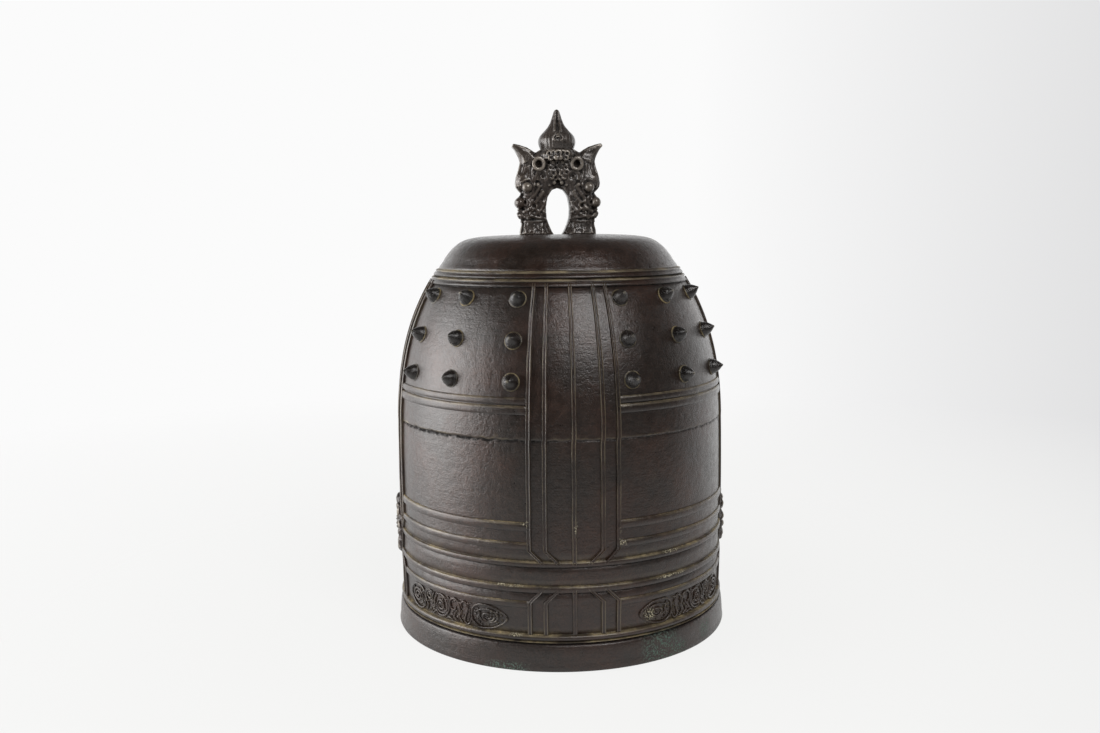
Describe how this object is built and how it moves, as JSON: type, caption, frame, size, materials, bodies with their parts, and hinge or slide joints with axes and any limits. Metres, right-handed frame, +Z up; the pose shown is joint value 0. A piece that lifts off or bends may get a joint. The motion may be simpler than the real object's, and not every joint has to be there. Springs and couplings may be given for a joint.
{
  "type": "temple bell",
  "caption": "Bronze temple bell hung by a dragon-headed loop, with raised bands, pointed studs and lotus striking seats, struck from outside.",
  "frame": {"origin": "centre of the mouth, on the plane of the lip that the bell rests on", "axes": "+Z up along the bell's axis to the jewel's tip; -Y towards the front vertical band, so the lotus striking seats face +X and -X"},
  "size_m": [0.3344, 0.3308, 0.5064],
  "materials": {
    "bell_bronze": "dark brown-black patina on cast bronze, softly glossy, with pale deposits along the raised bands",
    "loop_bronze": "near-black patina, a little glossier than the body",
    "stud_bronze": "dark brown-black patina"
  },
  "bodies": {
    "root": {"bell_body": "bell_bronze", "dragon_loop": "loop_bronze", "flame_jewel": "loop_bronze", "stud_front_right_top_1": "stud_bronze", "stud_front_right_top_2": "stud_bronze", "stud_front_right_top_3": "stud_bronze", "stud_front_right_middle_1": "stud_bronze", "stud_front_right_middle_2": "stud_bronze", "stud_front_right_middle_3": "stud_bronze", "stud_front_right_bottom_1": "stud_bronze", "stud_front_right_bottom_2": "stud_bronze", "stud_front_right_bottom_3": "stud_bronze", "stud_front_left_top_1": "stud_bronze", "stud_front_left_top_2": "stud_bronze", "stud_front_left_top_3": "stud_bronze", "stud_front_left_middle_1": "stud_bronze", "stud_front_left_middle_2": "stud_bronze", "stud_front_left_middle_3": "stud_bronze", "stud_front_left_bottom_1": "stud_bronze", "stud_front_left_bottom_2": "stud_bronze", "stud_front_left_bottom_3": "stud_bronze", "stud_rear_left_top_1": "stud_bronze", "stud_rear_left_top_2": "stud_bronze", "stud_rear_left_top_3": "stud_bronze", "stud_rear_left_middle_1": "stud_bronze", "stud_rear_left_middle_2": "stud_bronze", "stud_rear_left_middle_3": "stud_bronze", "stud_rear_left_bottom_1": "stud_bronze", "stud_rear_left_bottom_2": "stud_bronze", "stud_rear_left_bottom_3": "stud_bronze", "stud_rear_right_top_1": "stud_bronze", "stud_rear_right_top_2": "stud_bronze", "stud_rear_right_top_3": "stud_bronze", "stud_rear_right_middle_1": "stud_bronze", "stud_rear_right_middle_2": "stud_bronze", "stud_rear_right_middle_3": "stud_bronze", "stud_rear_right_bottom_1": "stud_bronze", "stud_rear_right_bottom_2": "stud_bronze", "stud_rear_right_bottom_3": "stud_bronze"}
  },
  "joints": []
}
